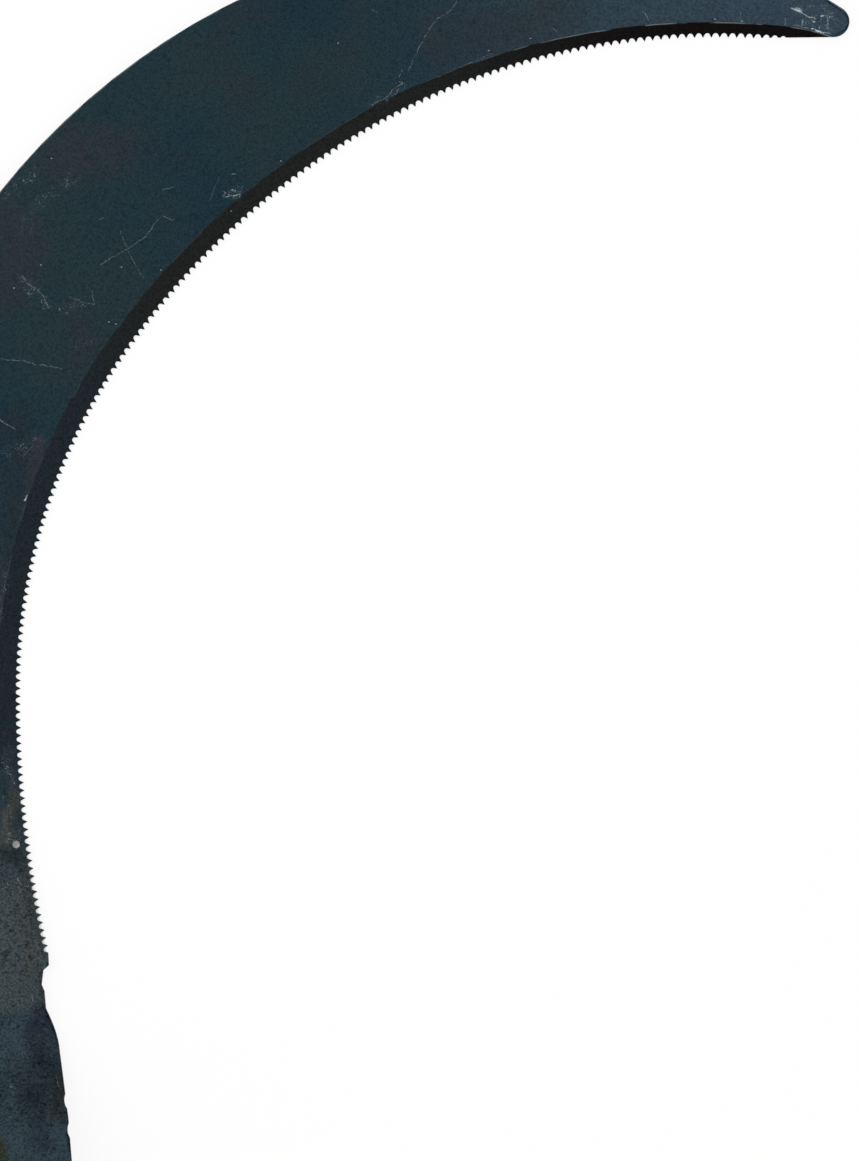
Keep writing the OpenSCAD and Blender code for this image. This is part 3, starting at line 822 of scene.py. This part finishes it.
@dataclass(frozen=True)
class OiledBeech:
    """Beech, turned, oiled and darkened by hands.

    Beech gives the eye fine growth rings, short dark flecks along the grain and a warm, matt brown.
    """

    light: str = "#a9763f"
    dark: str = "#865427"
    fleck: str = "#5b3517"
    grime: str = "#3b2413"
    # The tree's heart, beside the handle's axis along X and Z, and how the rings sway round it
    heart_mm: tuple[float, float] = (-46.5, -59.5)
    sway: Stray = Stray(Grain(18.0, 2.0, (1.0, 4.0, 1.0)), (9.0, 0.0, 9.0))
    ring_mm: float = 2.4
    ring_slope: float = 0.04
    ring_fade: Fade = Fade(0.1, 0.95, 0.0, 0.75)
    fibre: Grain = Grain(0.5, 3.0, (1.0, 40.0, 1.0))
    fibre_fade: Fade = Fade(0.4, 0.7, 0.0, 0.7)
    # A beech fleck is about 0.1 mm wide and 2 mm long, and is drawn wider so that it shows
    flecks: Patches = Patches(Grain(0.35, 1.0, (1.0, 9.0, 1.0)), Fade(0.62, 0.7))
    fleck_strength: float = 0.75
    grime_patches: Patches = Patches(Grain(26.0, 5.0), Fade(0.45, 0.75, 0.05, 0.7))
    roughness: Fade = Fade(0.3, 0.7, 0.42, 0.6)
    relief_mm: float = 0.06

    def build(self, axis_mm: tuple[float, float]) -> bpy.types.Material:
        """Makes the material.

        Args:
            axis_mm: Where the handle's axis lies, along X and Z.

        Returns:
            The material.
        """
        coats = Coats("beech_turned_oiled", self.light)
        tree, place = coats.tree, coats.place
        heart = (axis_mm[0] + self.heart_mm[0], 0.0, axis_mm[1] + self.heart_mm[1])
        swayed = self.sway.of(tree, place)
        across = add_node(tree, "ShaderNodeVectorMath", {0: swayed, 1: (1.0, self.ring_slope, 1.0)},
                          operation="MULTIPLY")
        radius = add_node(tree, "ShaderNodeVectorMath", {0: across, 1: heart}, out="Value",
                          operation="DISTANCE")
        turns = joined(tree, "MULTIPLY", radius, 1 / self.ring_mm)
        ring = joined(tree, "PINGPONG", turns, 1.0)
        fibre = self.fibre.on(tree, place)
        fleck = self.flecks.on(tree, place)
        coats.lay(self.dark, self.ring_fade.of(tree, ring))
        coats.lay(self.dark, self.fibre_fade.of(tree, fibre))
        coats.lay(self.fleck, fleck, self.fleck_strength)
        coats.lay(self.grime, self.grime_patches.on(tree, place))
        return coats.finish(self.roughness.of(tree, fibre), 0.0, joined(tree, "SUBTRACT", fibre, fleck),
                            self.relief_mm)


@dataclass(frozen=True)
class BlackenedMildSteel:
    """Mild steel strip, rolled to a band and blackened in the fire.

    It gives the eye a dark grey sheen with faint lines round the band and brown rust in its pits.
    """

    steel: str = "#4a4d50"
    rust: str = "#4d3325"
    bare: str = "#8b8f92"
    lines: Grain = Grain(0.3, 2.0, (60.0, 1.0, 60.0))
    lines_fade: Fade = Fade(0.5, 0.8, 0.0, 0.45)
    spots: Grain = Grain(4.0, 5.0)
    spots_fade: Fade = Fade(0.52, 0.66, 0.0, 0.8)
    roughness: Fade = Fade(0.4, 0.66, 0.4, 0.65)
    relief_mm: float = 0.02

    def build(self) -> bpy.types.Material:
        """Makes the material.

        Returns:
            The material.
        """
        coats = Coats("mild_steel_fire_blackened", self.steel)
        lines = self.lines.on(coats.tree, coats.place)
        spots = self.spots.on(coats.tree, coats.place)
        coats.lay(self.bare, self.lines_fade.of(coats.tree, lines))
        coats.lay(self.rust, self.spots_fade.of(coats.tree, spots))
        return coats.finish(self.roughness.of(coats.tree, spots), 1.0, lines, self.relief_mm)


@dataclass(frozen=True)
class PeenedSteel:
    """Mild steel rod, closed by hammer.

    The hammer leaves small bright facets on each head.
    """

    steel: str = "#8b8883"
    dark: str = "#615c56"
    blow_mm: float = 1.5
    blow_softness: float = 0.2
    dirt: Grain = Grain(2.25, 4.0)
    dirt_fade: Fade = Fade(0.4, 0.7)
    roughness: Fade = Fade(0.3, 0.7, 0.3, 0.5)
    relief_mm: float = 0.35

    def build(self) -> bpy.types.Material:
        """Makes the material.

        Returns:
            The material.
        """
        coats = Coats("mild_steel_peened", self.steel)
        blows = add_node(coats.tree, "ShaderNodeTexVoronoi",
                         {"Vector": coats.place, "Scale": 1 / self.blow_mm, "Smoothness": self.blow_softness},
                         feature="SMOOTH_F1")
        dirt = self.dirt.on(coats.tree, coats.place)
        coats.lay(self.dark, self.dirt_fade.of(coats.tree, dirt))
        return coats.finish(self.roughness.of(coats.tree, dirt), 1.0, blows, self.relief_mm)


@dataclass(frozen=True)
class StampedBrass:
    """Brass sheet, stamped to washers and gone dull.

    Dull brass gives the eye a brownish yellow with darker blooms.
    """

    brass: str = "#a07d48"
    bloom: str = "#6e5430"
    blooms: Grain = Grain(1.8, 5.0)
    bloom_fade: Fade = Fade(0.42, 0.66)
    roughness: Fade = Fade(0.3, 0.7, 0.34, 0.6)
    relief_mm: float = 0.03

    def build(self) -> bpy.types.Material:
        """Makes the material.

        Returns:
            The material.
        """
        coats = Coats("brass_stamped_dull", self.brass)
        blooms = self.blooms.on(coats.tree, coats.place)
        coats.lay(self.bloom, self.bloom_fade.of(coats.tree, blooms))
        return coats.finish(self.roughness.of(coats.tree, blooms), 1.0, blooms, self.relief_mm)


@dataclass
class Grip:
    """The turned handle and its ferrule."""

    smooth_below_deg: float = 25.0
    weld_mm: float = 0.001

    def smooth(self, piece: bpy.types.Object) -> None:
        """Shades a turned piece smooth along its length and keeps its real edges.

        Args:
            piece: The piece.
        """
        tree = bpy.data.node_groups.new("smooth_turning", "GeometryNodeTree")
        tree.interface.new_socket("Geometry", in_out="INPUT", socket_type="NodeSocketGeometry")
        tree.interface.new_socket("Geometry", in_out="OUTPUT", socket_type="NodeSocketGeometry")
        mesh = add_node(tree, "NodeGroupInput")
        mesh = add_node(tree, "GeometryNodeMergeByDistance",
                        {"Geometry": mesh, "Distance": self.weld_mm * MM})
        mesh = add_node(tree, "GeometryNodeRemoveAttribute", {"Geometry": mesh, "Name": "custom_normal"})
        mesh = add_node(tree, "GeometryNodeSetShadeSmooth", {"Geometry": mesh, "Shade Smooth": True},
                        domain="FACE")
        turn = add_node(tree, "GeometryNodeInputMeshEdgeAngle")
        gentle = add_node(tree, "ShaderNodeMath", {0: turn, 1: math.radians(self.smooth_below_deg)},
                          operation="LESS_THAN")
        mesh = add_node(tree, "GeometryNodeSetShadeSmooth", {"Geometry": mesh, "Shade Smooth": gentle},
                        domain="EDGE")
        add_node(tree, "NodeGroupOutput", {0: mesh})
        piece.modifiers.new("smooth_turning", "NODES").node_group = tree

    def dress(self) -> None:
        """Gives the handle and the ferrule their finishes."""
        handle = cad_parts["handle"]
        low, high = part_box("handle")
        axis = (low + high) / 2 / MM
        wear(handle, OiledBeech().build((axis.x, axis.z)))
        self.smooth(handle)
        wear(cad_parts["ferrule"], BlackenedMildSteel().build())


@dataclass
class Riveting:
    """The rivets through the handle and the tang, their burrs, and the ferrule's brads."""

    rivets: tuple[str, ...] = ("rivet_front", "rivet_middle", "rivet_rear",
                               "ferrule_brad_top", "ferrule_brad_bottom")
    burrs: tuple[str, ...] = tuple(f"burr_{place}_{side}" for place in ("front", "middle", "rear")
                                   for side in ("top", "bottom"))

    def dress(self) -> None:
        """Gives the rivets, the brads and the burrs their finishes."""
        steel, brass = PeenedSteel().build(), StampedBrass().build()
        for name in self.rivets:
            wear(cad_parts[name], steel)
        for name in self.burrs:
            wear(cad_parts[name], brass)


@dataclass
class Studio:
    """The pale floor, the white surroundings and the soft light."""

    floor_m: float = 30.0
    floor_sides: int = 96
    # The blade lies flat, and the floor keeps this far off its lower face
    floor_gap_mm: float = 0.05
    floor: str = "#f4f4f4"
    # How much of the floor's own white the camera sees, beside the light and shadow on it
    floor_glow: float = 0.88
    # How much of that glow is left where the floor is hemmed in within a reach, as in a small hole: painted
    # shade, by ambient occlusion
    hemmed: Fade = Fade(0.15, 0.4, 0.12, 1.0)
    hemmed_mm: float = 3.0
    world_strength: float = 0.86
    key_watts: float = 12.0
    key_size_m: float = 1.4
    key_place_m: tuple[float, float, float] = (-0.7, 0.7, 1.8)

    def seen(self, tree: Tree) -> Value:
        """Gives 1 for rays that show the background: from the camera, and in gloss and glass.

        Args:
            tree: The node tree that takes the nodes.

        Returns:
            1 for those rays and 0 for all others.
        """
        rays = add_node(tree, "ShaderNodeLightPath").node.outputs
        shown = ("Is Camera Ray", "Is Glossy Ray", "Is Transmission Ray")
        return joined(tree, "MAXIMUM", *(rays[name] for name in shown))

    def lay_floor(self) -> None:
        """Lays the floor."""
        mesh = bpy.data.meshes.new("floor")
        shape = bmesh.new()
        bmesh.ops.create_circle(shape, cap_ends=True, segments=self.floor_sides, radius=self.floor_m / 2)
        shape.to_mesh(mesh)
        shape.free()
        floor = bpy.data.objects.new("floor", mesh)
        floor.location.z = -self.floor_gap_mm * MM
        bpy.context.scene.collection.objects.link(floor)
        material = new_material("matt_white_board")
        tree = material.node_tree
        lit = add_node(tree, "ShaderNodeBsdfDiffuse", {"Color": linear(self.floor)})
        white = add_node(tree, "ShaderNodeEmission", {"Strength": 1.0})
        # Painted shade: ambient occlusion takes the glow away where the floor is hemmed in
        open_sky = add_node(tree, "ShaderNodeAmbientOcclusion", {"Distance": self.hemmed_mm * MM}, out="AO")
        glow = joined(tree, "MULTIPLY", self.seen(tree), self.floor_glow, self.hemmed.of(tree, open_sky))
        both = add_node(tree, "ShaderNodeMixShader", {0: glow, 1: lit, 2: white})
        add_node(tree, "ShaderNodeOutputMaterial", {"Surface": both})
        mesh.materials.append(material)

    def light(self) -> None:
        """Makes the surroundings and the one soft lamp."""
        scene = bpy.context.scene
        world = bpy.data.worlds.new("white_room")
        world.use_nodes = True
        tree = world.node_tree
        tree.nodes.clear()
        strength = add_node(tree, "ShaderNodeMix",
                            {MIX_FACTOR: self.seen(tree), MIX_LOW: self.world_strength, MIX_HIGH: 1.0},
                            data_type="FLOAT")
        glow = add_node(tree, "ShaderNodeBackground", {"Color": (1.0, 1.0, 1.0, 1.0), "Strength": strength})
        add_node(tree, "ShaderNodeOutputWorld", {"Surface": glow})
        scene.world = world
        data = bpy.data.lights.new("key", "AREA")
        data.energy, data.size = self.key_watts, self.key_size_m
        key = bpy.data.objects.new("key", data)
        key.location = self.key_place_m
        key.rotation_euler = (-Vector(self.key_place_m)).to_track_quat("-Z", "Y").to_euler()
        scene.collection.objects.link(key)
        scene.view_settings.view_transform = "Standard"

    def build(self) -> None:
        """Sets up the floor and the light."""
        self.lay_floor()
        self.light()


def main() -> None:
    """Dresses the sickle and sets up its stage."""
    logging.basicConfig(level=logging.INFO, format="%(name)s %(message)s")
    view = PhotoView()
    view.place()
    Studio().build()
    Blade().dress(view)
    Grip().dress()
    Riveting().dress()


if __name__ == "__main__":
    main()
